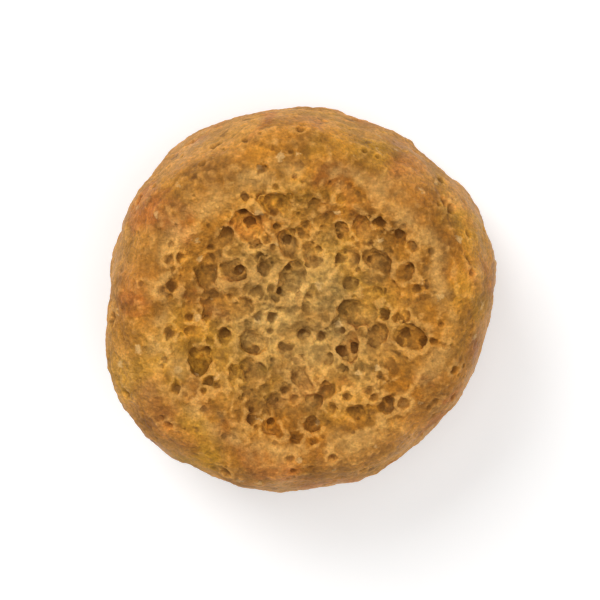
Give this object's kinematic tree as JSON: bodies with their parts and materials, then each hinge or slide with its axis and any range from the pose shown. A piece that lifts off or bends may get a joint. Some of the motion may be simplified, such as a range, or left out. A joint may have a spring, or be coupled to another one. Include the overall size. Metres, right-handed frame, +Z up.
{
  "type": "dry pet food kibble",
  "caption": "Short round plug of baked crumb with a bulged wall, rounded shoulders and two sliced, pitted faces.",
  "frame": {"origin": "middle of the base, on the surface that the piece lies on", "axes": "+Z up, from the lower cut face to the upper one; +X to the right and +Y away from a viewer who looks down on the piece"},
  "size_m": [0.012, 0.012, 0.0076],
  "materials": {
    "baked_crumb": "matte"
  },
  "bodies": {
    "root": {"kibble": "baked_crumb"}
  },
  "joints": []
}
